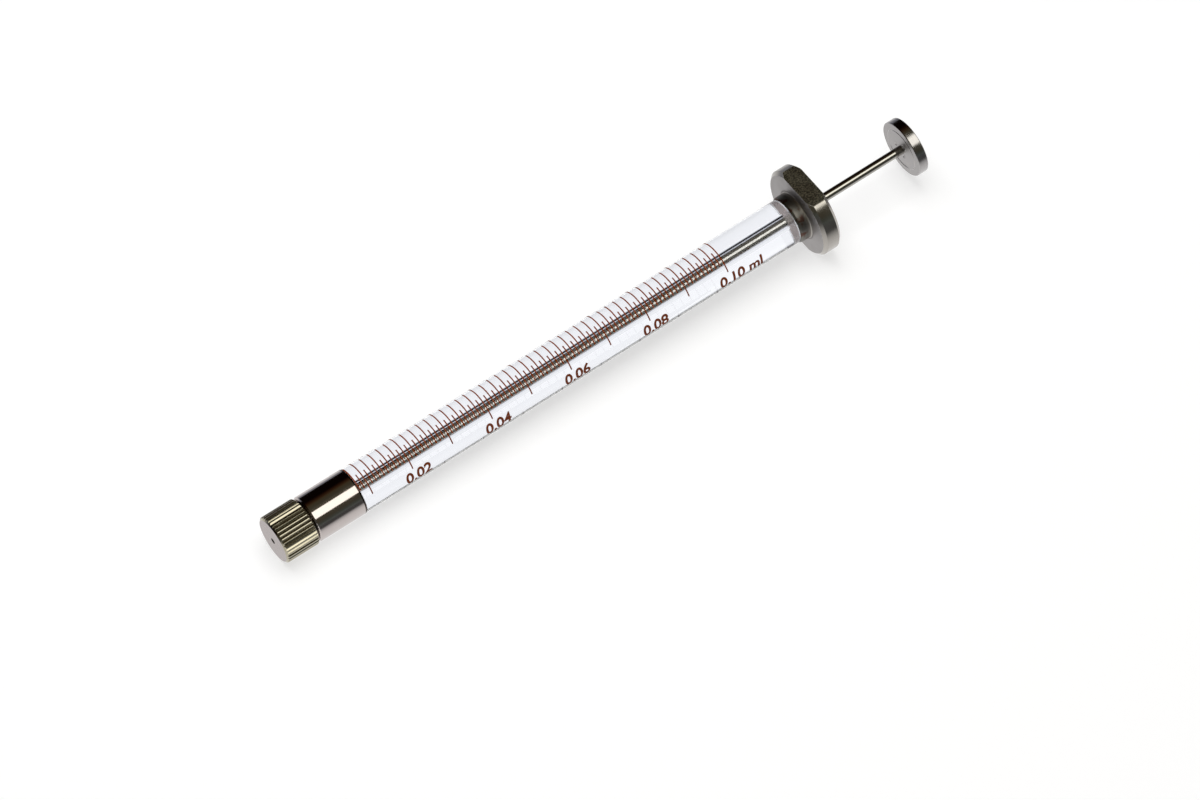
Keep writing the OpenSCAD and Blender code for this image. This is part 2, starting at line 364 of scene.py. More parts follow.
def steel(name, colour, dull, lines_per_mm, line_rise, roughness, smudge, facing=0.0):
    """Metal with turning lines, smudges and a slightly uneven colour, duller on faced ends."""
    finish = Finish(name, {"Metallic": 1.0})
    lines = turning_lines(finish, lines_per_mm)
    clouds = finish.place.noise(CLOUDS_PER_MM, CLOUD_DETAIL).band(*CLOUD_BAND)
    bright = lines * LINE_SHARE + clouds * (1 - LINE_SHARE)
    finish.feed("Base Color", bright.mix(dull, colour))
    rough = roughness + smudge * clouds + LINE_ROUGHNESS * lines + facing * finish.faced
    finish.feed("Roughness", rough)
    finish.bump(lines, line_rise)
    print(name, "has", len(finish.tree.nodes), "nodes")
    return finish


# %% The four steels
FLANGE_LINES = 9.0
polished_steel = steel(
    "polished_steel",
    colour=(0.65, 0.59, 0.57),
    dull=(0.6, 0.54, 0.52),
    lines_per_mm=14.0,
    line_rise=0.0003,
    roughness=0.06,
    smudge=0.04,
)
turned_steel = steel(
    "turned_steel",
    colour=(0.58, 0.56, 0.55),
    dull=(0.44, 0.42, 0.42),
    lines_per_mm=FLANGE_LINES,
    line_rise=0.002,
    roughness=0.14,
    smudge=0.08,
    facing=0.26,
)
knurled_steel = steel(
    "knurled_steel",
    colour=(0.48, 0.42, 0.405),
    dull=(0.4, 0.35, 0.34),
    lines_per_mm=8.0,
    line_rise=0.001,
    roughness=0.1,
    smudge=0.06,
    facing=0.1,
)
rod_steel = steel(
    "rod_steel",
    colour=(0.54, 0.52, 0.48),
    dull=(0.45, 0.43, 0.39),
    lines_per_mm=10.0,
    line_rise=0.0004,
    roughness=0.05,
    smudge=0.04,
)

# %% [markdown]
# The flange was not polished after milling. Its flats are blasted dull and mottled. Its faces
# square to the axis are painted darker, as shade: the shadowed table that they mirror. The neck
# beside the glass gets painted shade too, darker where the flange hides the softbox from its
# mirror, and reddish brown patches that are a painted reflection of the brown ink on the glass.
# Masks say where each of these is: a band of height, of radius or of the place along the axis.

# %% Where the flange is dull, and where shade and a reflection are painted on it
FLATS_HALF = 5.15
FLAT_BAND = (FLATS_HALF - 0.05, FLATS_HALF - 0.02)
NEAR_AXIS_BAND = (3.6, 3.5)
NECK_BAND = (flange_front - 0.15, flange_front - 0.7)
FOOT_BAND = (flange_front + 0.06, flange_front)
FLANGE_BAND = (flange_rear + 0.3, flange_rear + 0.2)
# Patches of painted reflection on the neck: the brown ink on the glass, mirrored reddish brown.
PAINTED_REFLECTION_PER_MM = 1.1
PAINTED_REFLECTION_BAND = (0.5, 0.62)
MOTTLE_PER_MM = 5.0
MOTTLE_BAND = (0.35, 0.65)
on_flat = turned_steel.height.maths("ABSOLUTE", turned_steel.height).band(*FLAT_BAND)
near_axis = turned_steel.radius.band(*NEAR_AXIS_BAND)
on_neck = near_axis * turned_steel.along.band(*NECK_BAND)
by_neck = near_axis * turned_steel.along.band(*FOOT_BAND)
on_flange = turned_steel.along.band(*FLANGE_BAND)
mottle = turned_steel.place.noise(MOTTLE_PER_MM, detail=4.0)
painted_ink_reflection = turned_steel.place.noise(PAINTED_REFLECTION_PER_MM, detail=3.0).band(*PAINTED_REFLECTION_BAND) * on_neck
print("masks of the flange end", round(FLANGE_BAND[0], 2), "mm behind the scale's zero")

# %% Colours and roughness of the flange
# The faces are painted darker as shade, for the shadowed table that they mirror. The neck gets painted
# shade, darker where the flange hides the softbox, and a painted reddish brown reflection of ink.
RIM_COLOUR = (0.52, 0.49, 0.45)
FACE_SHADE_COLOUR = (0.41, 0.39, 0.385)
PIT_COLOUR = (0.22, 0.215, 0.175)
BLASTED_COLOUR = (0.62, 0.6, 0.5)
NECK_SHADE_COLOUR = (0.24, 0.23, 0.21)
PAINTED_REFLECTION_COLOUR = (0.16, 0.09, 0.07)
NECK_ROUGHNESS = 0.25
FLAT_ROUGHNESS = 0.1
MOTTLE_ROUGHNESS = 0.3
MOTTLE_RISE = 12.0
FLANGE_RISE = 0.0025
# The flange is a little darker than the button, and its faces are darker still with painted shade.
flange_tone_and_shade = on_flange.mix(turned_steel.wire("Base Color"), RIM_COLOUR)
flange_tone_and_shade = (on_flange * turned_steel.faced).mix(flange_tone_and_shade, FACE_SHADE_COLOUR)
clean = on_flat.mix(flange_tone_and_shade, mottle.band(*MOTTLE_BAND).mix(PIT_COLOUR, BLASTED_COLOUR))
# Painted shade on the neck, then the patches of painted reflection of ink.
neck_with_painted_shade = on_neck.mix(clean, NECK_SHADE_COLOUR)
turned_steel.feed("Base Color", painted_ink_reflection.mix(neck_with_painted_shade, PAINTED_REFLECTION_COLOUR))
rough = turned_steel.wire("Roughness") + by_neck * NECK_ROUGHNESS
flat_rough = on_flat * (FLAT_ROUGHNESS + mottle * MOTTLE_ROUGHNESS)
turned_steel.feed("Roughness", rough + flat_rough)
skin = turning_lines(turned_steel, FLANGE_LINES) + on_flat * mottle * MOTTLE_RISE
turned_steel.bump(skin, FLANGE_RISE)
# The flange's masks add painted shade and a painted reflection to its dull flats.
print("turned_steel has", len(turned_steel.tree.nodes), "nodes with the flange's marks_and_painted_light")

# %% [markdown]
# One trace of use: a dark line of cement that was wiped along the hub's rear edge. And a painted
# reflection: an olive tint on the knurl for the olive room that it mirrors, which the polished
# face of the nut doesn't get.

# %% Hub edge and knurl
CEMENT_LINE_BAND = (hub_rear - 0.27, hub_rear - 0.2)
CEMENT_LINE_COLOUR = (0.07, 0.05, 0.04)
KNURL_PAINTED_REFLECTION = (0.52, 0.48, 0.37)
hub_edge = polished_steel.along.band(*CEMENT_LINE_BAND)
lined = hub_edge.mix(polished_steel.wire("Base Color"), CEMENT_LINE_COLOUR)
polished_steel.feed("Base Color", lined)
# An olive tint painted on the knurl: a painted reflection of the olive room.
olive = (1 - knurled_steel.faced).mix(knurled_steel.wire("Base Color"), KNURL_PAINTED_REFLECTION)
knurled_steel.feed("Base Color", olive)
print("the hub's dark line is", round(hub_rear - CEMENT_LINE_BAND[1], 2), "mm wide")

# %% [markdown]
# The tube is drawn borosilicate glass. Its body has a faint tint and its skin faint lines along
# the draw. It is a closed solid with a real bore, so light bends at each wall as it should. Its
# two ends are ground, and ground glass is dull, because its skin is a field of tiny facets.

# %% Glass
GLASS_COLOURS = ((0.92, 0.935, 0.985), (0.94, 0.955, 0.995))
DRAW_LENGTHWISE = 0.02
DRAW_ACROSS = 1.5
DRAW_RISE = 0.0003
GROUND_FADE = (0.06, 0.03)
GROUND_ROUGHNESS = 0.45
glass = Finish("barrel_glass", {"Transmission Weight": 1.0, "IOR": 1.47})
sideways = (glass.side * DRAW_ACROSS, glass.height * DRAW_ACROSS)
draw_lines = glass.vector(glass.along * DRAW_LENGTHWISE, *sideways).noise(1.0)
glass.feed("Base Color", draw_lines.mix(*GLASS_COLOURS))
glass.bump(draw_lines, DRAW_RISE)
front_ground = glass.along.band(*(hub_rear + fade for fade in GROUND_FADE))
rear_ground = glass.along.band(*(neck_front - fade for fade in GROUND_FADE))
glass.feed("Roughness", (front_ground + rear_ground) * GROUND_ROUGHNESS)
print("barrel_glass has", len(glass.tree.nodes), "nodes")

# %% Ink
INK_COLOURS = ((0.17, 0.03, 0.004), (0.25, 0.05, 0.009))
INK_GRAIN_PER_MM = 7.0
INK_BAND = (0.3, 0.75)
INK_RISE = 0.003
ink = Finish("scale_ink", {"Roughness": 0.6, "Specular IOR Level": 0.1})
ink_grain = ink.place.noise(INK_GRAIN_PER_MM, detail=4.0)
ink.feed("Base Color", ink_grain.band(*INK_BAND).mix(*INK_COLOURS))
ink.bump(ink_grain, INK_RISE)
print("scale_ink has", len(ink.tree.nodes), "nodes")

# %% Seal plastic
PLASTIC_COLOURS = ((0.8, 0.8, 0.78), (0.9, 0.9, 0.88))
PLASTIC_LINES = 6.0
PLASTIC_ROUGHNESS = 0.4
PLASTIC_SPREAD = 0.15
PLASTIC_RISE = 0.003
plastic = Finish("seal_plastic", {"Subsurface Weight": 0.2, "Subsurface Scale": 0.0004})
plastic_lines = turning_lines(plastic, PLASTIC_LINES)
plastic.feed("Base Color", plastic_lines.mix(*PLASTIC_COLOURS))
plastic.feed("Roughness", PLASTIC_ROUGHNESS + PLASTIC_SPREAD * plastic_lines)
plastic.bump(plastic_lines, PLASTIC_RISE)
print("seal_plastic has", len(plastic.tree.nodes), "nodes")

# %% [markdown]
# The cement is brown and grainy outside. The tube carries light along its wall to the joints,
# where a render loses it, so the cement's inner face is paler and glows a little in its place:
# nearly white at the hub, and grey brown at the flange.

# %% Cement
GRAIN_PER_MM = 9.0
GRAIN_BAND = (0.3, 0.7)
GRAIN_COLOURS = ((0.16, 0.13, 0.115), (0.3, 0.26, 0.24))
GRAIN_ROUGHNESS = 0.55
GRAIN_SPREAD = 0.3
GRAIN_RISE = 0.01
INNER_BAND = (2.95, 2.85)
REAR_BAND = (glass_front + 10, glass_front + 11)
INNER_COLOURS = ((0.75, 0.74, 0.73), (0.4, 0.36, 0.34))
GLOW_COLOURS = ((0.9, 0.9, 0.92), (0.36, 0.32, 0.305))
cement = Finish("cement", {"Emission Strength": 0.75})
grain = cement.place.noise(GRAIN_PER_MM, detail=5.0)
inner = cement.radius.band(*INNER_BAND)
at_rear = cement.along.band(*REAR_BAND)
outer_colour = grain.band(*GRAIN_BAND).mix(*GRAIN_COLOURS)
cement.feed("Base Color", inner.mix(outer_colour, at_rear.mix(*INNER_COLOURS)))
cement.feed("Emission Color", inner.mix((0, 0, 0), at_rear.mix(*GLOW_COLOURS)))
cement.feed("Roughness", GRAIN_ROUGHNESS + GRAIN_SPREAD * grain)
cement.bump(grain, GRAIN_RISE)
print("cement has", len(cement.tree.nodes), "nodes")

# %% [markdown]
# The barrel is a thick-walled tube, ground down at both ends so that the hub and the flange come
# out level with it. Glass that is ground and broken has no knife edges, so its corners are eased
# more than those of the metal.

# %% Glass barrel
WIDE_STEPS = 256
BORE_VOLUME = 100.0
SCALE_LENGTH = 60.0
SPIGOT_R = 2.4
BORE_LEAD = 0.25
GLASS_EASE = 0.05
CEMENT_LINE = 0.02
bore_r = math.sqrt(BORE_VOLUME / (math.pi * SCALE_LENGTH))
front_shoulder = hub_rear + CEMENT_LINE
rear_shoulder = neck_front - CEMENT_LINE
tube = turned(
    "glass_barrel_tube",
    eased(
        [
            (glass_front, bore_r),
            (glass_front, SPIGOT_R),
            (front_shoulder, SPIGOT_R),
            (front_shoulder, glass_r),
            (rear_shoulder, glass_r),
            (rear_shoulder, SPIGOT_R),
            (glass_rear, SPIGOT_R),
            (glass_rear, bore_r + BORE_LEAD),
            (glass_rear - BORE_LEAD, bore_r),
        ],
        GLASS_EASE,
    ),
    WIDE_STEPS,
)
lay(tube, "barrel", glass.material)
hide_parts("glass_barrel")

# %% [markdown]
# The scale is printed ink, fired into the glass: a band about a hundredth of a millimetre high.
# A small rectangle at the surface, spun through the mark's angle, is one mark. It dips a hair
# into the glass, so that no air shows under it. Three kinds are made and copied along.

# %% One mark
MARK_W = 0.17
MARK_STEP = 2.0
INK_T = 0.012
INK_DIP = 0.002
SCALE_TURN = 30.5


def one_mark(name, low, high):
    """A mark at place 0, from low to high degrees from the centre line of the scale."""
    bpy.ops.object.select_all(action="DESELECT")
    bpy.ops.mesh.primitive_plane_add(size=1.0, rotation=(math.pi / 2, 0, 0))
    piece = bpy.context.object
    piece.name = name
    bpy.ops.object.transform_apply(rotation=True)
    bpy.ops.object.mode_set(mode="EDIT")
    bpy.ops.transform.resize(value=(MARK_W, 1, INK_T + INK_DIP))
    bpy.ops.transform.translate(value=(0, 0, glass_r + (INK_T - INK_DIP) / 2))
    first = math.radians(SCALE_TURN - low)
    last = math.radians(SCALE_TURN - high)
    bpy.ops.transform.rotate(value=-first, orient_axis="X", center_override=(0, 0, 0))
    steps = round((high - low) / MARK_STEP)
    bpy.ops.mesh.spin(steps=steps, angle=first - last, center=(0, 0, 0), axis=(1, 0, 0))
    heal()
    return piece


print("a mark is", MARK_W, "mm wide and", INK_T, "mm high")


# %% The whole scale
DIVISIONS = 100
FIRST_MARK = 8
TENS = (-30.0, 92.0)
EVEN = (-8.0, 73.0)
ODD = (-8.0, 30.0)


def copy_along(piece, places):
    """Copies of a piece along the axis, each with its own mesh."""
    copies = []
    for place in places:
        work_alone(piece)
        bpy.ops.object.duplicate(linked=False)
        twin = bpy.context.object
        twin.location.x = place
        bpy.ops.object.transform_apply(location=True)
        copies.append(twin)
    bpy.data.objects.remove(piece)
    return copies


def joined(name, parts):
    """All the parts as one piece."""
    bpy.ops.object.select_all(action="DESELECT")
    for part in parts:
        part.select_set(True)
    bpy.context.view_layer.objects.active = parts[0]
    bpy.ops.object.join()
    parts[0].name = name
    parts[0].data.name = name
    return parts[0]


numbers = range(FIRST_MARK, DIVISIONS + 1)
kinds = {
    TENS: [n for n in numbers if n % 10 == 0],
    EVEN: [n for n in numbers if n % 2 == 0 and n % 10],
    ODD: [n for n in numbers if n % 2],
}
marks = []
for (low, high), members in kinds.items():
    places = [n * SCALE_LENGTH / DIVISIONS for n in members]
    marks += copy_along(one_mark("mark", low, high), places)
print("marks on the scale:", len(marks))
scale = joined("scale_marks_ink", marks)
lay(scale, "barrel", ink.material)
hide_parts("scale_marks")

# %% [markdown]
# The numbers read along the barrel, below the long marks, at every fifth of the volume. They are
# generic numerals: text is made a mesh, cut into narrow strips so that it can bend, and wrapped
# round the glass.

# %% Scale numbers
NUMBER_TURN = -53.5
NUMBER_SIZE = 2.4
NUMBER_WIDTH = 0.92
NUMBER_BOLD = 0.065
NUMBER_STRIP = 0.15
NUMBERS = {"0.02": 12.6, "0.04": 24.6, "0.06": 36.6, "0.08": 48.6, "0.10 ml": 61.8}


def wrapped_text(words, place):
    """Words as a thin band of ink round the glass, centred on a place along the axis."""
    bpy.ops.object.select_all(action="DESELECT")
    bpy.ops.object.text_add()
    piece = bpy.context.object
    piece.data.body = words
    piece.data.size = NUMBER_SIZE
    piece.data.offset = NUMBER_BOLD
    piece.data.extrude = (INK_T + INK_DIP) / 2
    piece.data.align_x = "CENTER"
    piece.data.align_y = "CENTER"
    bpy.ops.object.convert(target="MESH")
    piece = bpy.context.object
    bpy.ops.object.mode_set(mode="EDIT")
    bpy.ops.mesh.select_all(action="SELECT")
    bpy.ops.transform.resize(value=(NUMBER_WIDTH, 1, 1), center_override=(0, 0, 0))
    for cut in range(round(NUMBER_SIZE / NUMBER_STRIP) + 1):
        level = cut * NUMBER_STRIP - NUMBER_SIZE / 2
        bpy.ops.mesh.select_all(action="SELECT")
        bpy.ops.mesh.bisect(plane_co=(0, level, 0), plane_no=(0, 1, 0))
    heal()
    for vertex in piece.data.vertices:
        turn = math.radians(NUMBER_TURN - SCALE_TURN) + vertex.co.y / glass_r
        ring = glass_r + (INK_T - INK_DIP) / 2 + vertex.co.z
        vertex.co = (vertex.co.x + place, ring * math.sin(turn), ring * math.cos(turn))
    return piece


figures = joined("scale_numbers", [wrapped_text(*number) for number in NUMBERS.items()])
lay(figures, "barrel", ink.material)

# %% [markdown]
# The hub is one turned piece: a polished sleeve over the glass, a relief groove, and a threaded
# nose that the nut screws on. The thread is a real helix: a small triangle carried round and
# along by the Screw modifier, and trimmed to the lead-in chamfer at the nose.

# %% Hub sleeve
THREAD_ROOT = 2.2
GLAND_R = 1.0
HUB_FRONT = -2.2
HUB_BEVEL = 0.2
HUB_CHAMFER = 0.1
CEMENT_T = 0.08
SOCKET_R = SPIGOT_R + CEMENT_T
hub_core = turned(
    "barrel_hub_sleeve",
    eased(
        [
            (nose_front, GLAND_R),
            (nose_front, THREAD_ROOT),
            (HUB_FRONT, THREAD_ROOT),
            (HUB_FRONT, hub_r - HUB_BEVEL),
            (HUB_FRONT + HUB_BEVEL, hub_r),
            (hub_rear - HUB_CHAMFER, hub_r),
            (hub_rear, hub_r - HUB_CHAMFER),
            (hub_rear, SOCKET_R),
            (front_cement, SOCKET_R),
            (front_cement, GLAND_R),
        ]
    ),
)
print("hub sleeve:", round(hub_rear - HUB_FRONT, 2), "mm long")

# %% Thread on the hub's nose
THREAD_R = 2.5
THREAD_SINK = 0.02
THREAD_STEPS = 96
PITCH = 0.5
RELIEF_W = 0.5


def thread_ridge(name, first, last):
    """A helical ridge of triangular section between two places."""
    base = THREAD_ROOT - THREAD_SINK
    crest = (first + PITCH / 2, THREAD_R)
    outline = [(first, base), crest, (first + PITCH, base), (first, base)]
    piece = start_point(name, (outline[0][0], 0, outline[0][1]))
    draw_on(outline)
    heal()
    screw = piece.modifiers.new("thread", "SCREW")
    screw.axis = "X"
    screw.screw_offset = PITCH
    screw.iterations = int((last - first) / PITCH) - 1
    screw.steps = THREAD_STEPS
    screw.render_steps = THREAD_STEPS
    screw.use_merge_vertices = True
    work_alone(piece)
    bpy.ops.object.modifier_apply(modifier=screw.name)
    for vertex in piece.data.vertices:
        radius = math.hypot(vertex.co.y, vertex.co.z)
        limit = max(base + vertex.co.x - nose_front, base)
        if radius > limit:
            vertex.co.y *= limit / radius
            vertex.co.z *= limit / radius
    return piece


ridge = thread_ridge("thread", nose_front, HUB_FRONT - RELIEF_W)
hub = joined("barrel_hub_sleeve", [hub_core, ridge])
lay(hub, "barrel", polished_steel.material)
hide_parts("barrel_hub")

# %% [markdown]
# The nut is turned, then straight-knurled: a wheel presses grooves along it, and the chamfers
# at its ends run through the teeth. The blank is spun with many steps to each tooth, and each
# point of its skin is pushed in to the knurl's depth at its angle, unless the chamfer is deeper.
# Rings of points close to the rims of the front face keep its shading flat.

# %% Nut blank
KNURL_TEETH = 36
TOOTH_STEPS = 12
NUT_FACE_R = nut_r - 0.3
NUT_FRONT_BEVEL = 0.27
NUT_REAR_CHAMFER = 0.25
NUT_FLOOR = -5.95
NEEDLE_HOLE_R = 0.4
NUT_BORE_R = THREAD_R + 0.06
NUT_MOUTH = 0.04
HOLE_LIP = 0.03
FACE_LIP = 0.02
CHAMFER_RINGS = 6
RIM_RINGS = 4


def rings(start, end, count):
    """Points of a straight stretch of a profile, without its last one."""
    first, last = Vector(start), Vector(end)
    return [first.lerp(last, step / count) for step in range(count)]


rim_front = nut_front + NUT_FRONT_BEVEL
rim_rear = nut_rear - NUT_REAR_CHAMFER
front_face = [(nut_front, NEEDLE_HOLE_R), (nut_front, NEEDLE_HOLE_R + HOLE_LIP)]
front_face += [(nut_front, NUT_FACE_R - FACE_LIP)]
rear_rim = (nut_rear, nut_r - NUT_REAR_CHAMFER)
mouth = [(nut_rear, NUT_BORE_R + NUT_MOUTH), (nut_rear - NUT_MOUTH, NUT_BORE_R)]
bottom = [(NUT_FLOOR, NUT_BORE_R), (NUT_FLOOR, NEEDLE_HOLE_R)]
nut_profile = [Vector(point) for point in front_face]
nut_profile += rings((nut_front, NUT_FACE_R), (rim_front, nut_r), CHAMFER_RINGS)
nut_profile += rings((rim_front, nut_r), (rim_rear, nut_r), RIM_RINGS)
nut_profile += rings((rim_rear, nut_r), rear_rim, CHAMFER_RINGS)
nut_profile += [Vector(point) for point in [rear_rim] + mouth + bottom]
nut = turned("needle_nut_knurled", nut_profile, KNURL_TEETH * TOOTH_STEPS)
print("nut blank:", round(nut_rear - nut_front, 2), "mm long, radius", round(nut_r, 2))

# %% Knurl
KNURL_DEPTH = 0.16
KNURL_CREST = 0.28
KNURL_SMOOTH = 25.0
NUT_SKIN_R = NUT_FACE_R - 0.3


def groove(turn):
    """Depth of the knurl at an angle round the nut: a flat crest and a valley like a V."""
    pitch = math.tau / KNURL_TEETH
    off_crest = abs((turn + pitch / 2) % pitch - pitch / 2) / (pitch / 2)
    share = max(0.0, (off_crest - KNURL_CREST) / (1 - KNURL_CREST))
    return KNURL_DEPTH * share


for vertex in nut.data.vertices:
    radius = math.hypot(vertex.co.y, vertex.co.z)
    if radius < NUT_SKIN_R:
        continue
    deepest = nut_r - groove(math.atan2(vertex.co.y, vertex.co.z))
    if radius > deepest:
        vertex.co.y *= deepest / radius
        vertex.co.z *= deepest / radius
lay(nut, "nut", knurled_steel.material, KNURL_SMOOTH)
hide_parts("needle_nut")

# %% [markdown]
# The finger flange is turned in one with the neck that holds the glass, and two flats are milled
# on it so that the syringe can't roll. The disc is spun whole and bisected at the flats, and the
# new edges get the small break that a file gives them.

# %% Flange blank
NECK_R = 3.25
NECK_CHAMFER = 0.14
NECK_BEVEL = 0.28
NECK_FILLET = 0.2
FLANGE_CHAMFER = 0.45
FLANGE_WALL = 0.8
GUIDE_R = 0.85
GUIDE_SINK = 0.35
FILLET_STEP = 15
socket_floor = flange_rear - FLANGE_WALL
fillet = [
    (
        flange_front - NECK_FILLET * (1 - math.sin(turn)),
        NECK_R + NECK_FILLET * (1 - math.cos(turn)),
    )
    for turn in (math.radians(angle) for angle in range(0, 91, FILLET_STEP))
]
flange_profile = eased(
    [
        (neck_front, SOCKET_R),
        (neck_front, NECK_R - NECK_CHAMFER),
        (neck_front + NECK_BEVEL, NECK_R),
    ]
    + fillet
    + [
        (flange_front, flange_r - FLANGE_CHAMFER),
        (flange_front + FLANGE_CHAMFER, flange_r),
        (flange_rear - FLANGE_CHAMFER, flange_r),
        (flange_rear, flange_r - FLANGE_CHAMFER),
        (flange_rear, GUIDE_R + GUIDE_SINK),
        (flange_rear - GUIDE_SINK, GUIDE_R),
        (socket_floor, GUIDE_R),
        (socket_floor, SOCKET_R),
    ]
)
flange = turned("barrel_flange_grip", flange_profile, WIDE_STEPS)
print("flange blank:", FLANGE_T, "mm thick, radius", round(flange_r, 2))

# %% The two flats
FLAT_EDGE = 0.03


def cut_flat(piece, side):
    """Cuts one flat across the disc and breaks its edge."""
    work_alone(piece)
    bpy.ops.object.mode_set(mode="EDIT")
    bpy.ops.mesh.select_all(action="SELECT")
    bpy.ops.mesh.bisect(
        plane_co=(0, 0, side * FLATS_HALF),
        plane_no=(0, 0, side),
        use_fill=True,
        clear_outer=True,
    )
    bpy.ops.mesh.bevel(offset=FLAT_EDGE, segments=2, affect="EDGES", clamp_overlap=True)
    heal()


cut_flat(flange, 1)
cut_flat(flange, -1)
lay(flange, "barrel", turned_steel.material)
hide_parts("barrel_flange")

# %% [markdown]
# The plunger is a ground rod with a soft tip pressed on a barb and a turned button on the other
# end. The button's front face has a shallow ring, and three punch marks stake the rod in it: each
# is a small round dent with the metal raised round it. The face is spun with many close rings
# there, so that the dents have points to move.

# %% Rod
THIN_STEPS = 128
PIN_STEP = 0.1
PIN_BARB = 0.4
BARB_R = 0.43
TIP_GAP = 0.03
rod_shoulder = tip_rear + TIP_GAP
rod = turned(
    "plunger_rod_ground",
    eased(
        [
            (rod_front, 0.0),
            (rod_front, BARB_R - PIN_STEP),
            (rod_front + PIN_STEP, BARB_R),
            (rod_front + PIN_BARB, BARB_R),
            (rod_front + PIN_BARB, BARB_R - PIN_STEP),
            (rod_shoulder, BARB_R - PIN_STEP),
            (rod_shoulder, rod_r),
            (rod_rear, rod_r),
            (rod_rear, 0.0),
        ]
    ),
    THIN_STEPS,
)
lay(rod, "plunger", rod_steel.material)
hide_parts("plunger_rod")

# %% Button blank
BUTTON_CHAMFER = 0.1
ROD_SOCKET = 0.95
RING_R = 2.85
RING_W = 0.18
RING_DEPTH = 0.08
PUNCH_RING_R = 1.05
FACE_RINGS = 36
RING_STEP = 0.025
outer_ring = PUNCH_RING_R + 0.5
face_rings = [(button_front, outer_ring - step * RING_STEP) for step in range(FACE_RINGS)]
ring_groove = [
    (button_front, RING_R + RING_W / 2),
    (button_front + RING_DEPTH, RING_R),
    (button_front, RING_R - RING_W / 2),
]
button_edge = eased(
    [
        (button_rear, button_r - BUTTON_CHAMFER),
        (button_rear - BUTTON_CHAMFER, button_r),
        (button_front + BUTTON_CHAMFER, button_r),
        (button_front, button_r - BUTTON_CHAMFER),
    ]
)
button_profile = [(button_rear, 0.0)] + [tuple(point) for point in button_edge] + ring_groove
button_profile += face_rings + [(button_front, rod_r), (button_front + ROD_SOCKET, rod_r)]
button_profile += [(button_front + ROD_SOCKET, 0.0)]
button = turned("plunger_button_turned", button_profile, WIDE_STEPS)
print("button blank:", round(button_rear - button_front, 2), "mm thick")

# %% Punch marks
PUNCH_COUNT = 3
PUNCH_TURN = 90
PUNCH_R = 0.3
PUNCH_DEPTH = 0.12
LIP_RISE = 0.03
LIP_REACH = 0.5
face = [vertex for vertex in button.data.vertices if abs(vertex.co.x - button_front) <= MERGE]
for mark in range(PUNCH_COUNT):
    turn = math.radians(PUNCH_TURN + 360 * mark / PUNCH_COUNT)
    aside = Vector((0, math.sin(turn), math.cos(turn))) * PUNCH_RING_R
    centre = Vector((button_front, 0, 0)) + aside
    for vertex in face:
        off = (vertex.co - centre).length / PUNCH_R
        if off < 1:
            vertex.co.x += PUNCH_DEPTH * math.cos(off * math.pi / 2)
        elif off < 1 + LIP_REACH:
            vertex.co.x -= LIP_RISE * math.sin((off - 1) * math.pi / LIP_REACH)
print("punch marks on the button:", PUNCH_COUNT)
lay(button, "plunger", turned_steel.material)
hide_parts("plunger_button")

# %% [markdown]
# The tip and the needle seal are white fluoropolymer, turned to size. They give way under load,
# so their corners are rounder than those of the metal.

# %% Plunger tip
SOFT_EASE = 0.06
PIN_CLEARANCE = 0.03
hollow_front = rod_front - PIN_CLEARANCE
hollow_rear = rod_front + PIN_BARB + PIN_CLEARANCE
tip = turned(
    "plunger_tip_soft",
    eased(
        [
            (tip_front, 0.0),
            (tip_front, tip_r),
            (tip_rear, tip_r),
            (tip_rear, BARB_R - PIN_STEP + PIN_CLEARANCE),
            (hollow_rear, BARB_R - PIN_STEP + PIN_CLEARANCE),
            (hollow_rear, BARB_R + PIN_CLEARANCE),
            (hollow_front, BARB_R + PIN_CLEARANCE),
            (hollow_front, 0.0),
        ],
        SOFT_EASE,
    ),
    THIN_STEPS,
)
lay(tip, "tip", plastic.material)
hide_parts("plunger_tip")

# %% Needle seal
SEAL_STEPS = 96
SEAL_HOLE_R = 0.2
SEAL_HEAD_T = 0.35
STEM_R = GLAND_R - 0.05
seal = turned(
    "needle_seal_soft",
    eased(
        [
            (seal_front, SEAL_HOLE_R),
            (seal_front, seal_r),
            (seal_front + SEAL_HEAD_T, seal_r),
            (seal_front + SEAL_HEAD_T, STEM_R),
            (seal_rear, STEM_R),
            (seal_rear, SEAL_HOLE_R),
        ],
        SOFT_EASE,
    ),
    SEAL_STEPS,
)
lay(seal, "seal", plastic.material)
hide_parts("needle_seal")

# %% [markdown]
# The cement holds the ground ends of the glass. It clings to the metal and leaves a hair of air
# at the glass, so light inside the tube is thrown back at the shoulder and the tube stays clear
# to its very end.

# %% Cement rings
AIR = 0.002
front_ring = turned(
    "hub_cement_ring",
    [
        (front_cement, GLAND_R),
        (front_cement, SOCKET_R),
        (hub_rear, SOCKET_R),
        (hub_rear, cement_r),
        (front_shoulder - AIR, cement_r),
        (front_shoulder - AIR, SPIGOT_R + AIR),
        (glass_front - AIR, SPIGOT_R + AIR),
        (glass_front - AIR, GLAND_R),
    ],
)
lay(front_ring, "barrel", cement.material)
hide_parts("hub_cement")
rear_ring = turned(
    "flange_cement_ring",
    [
        (rear_shoulder + AIR, SPIGOT_R + AIR),
        (rear_shoulder + AIR, cement_r),
        (neck_front, cement_r),
        (neck_front, SOCKET_R),
        (socket_floor, SOCKET_R),
        (socket_floor, bore_r + BORE_LEAD),
        (glass_rear + AIR, bore_r + BORE_LEAD),
        (glass_rear + AIR, SPIGOT_R + AIR),
    ],
)
lay(rear_ring, "barrel", cement.material)
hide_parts("flange_cement")

# %% [markdown]
# The floor is a plain white table. Part of its white is its own glow and part is light from the
# lamps, so the syringe still casts its soft shadow. Far away, where the lamps no longer reach, the
# glow alone makes it white. Mirrored and bent rays see another table: to the metal it is a bright
# sheet under the syringe, dim in front and bluish behind, and to the glass it is white and fades
# in front.

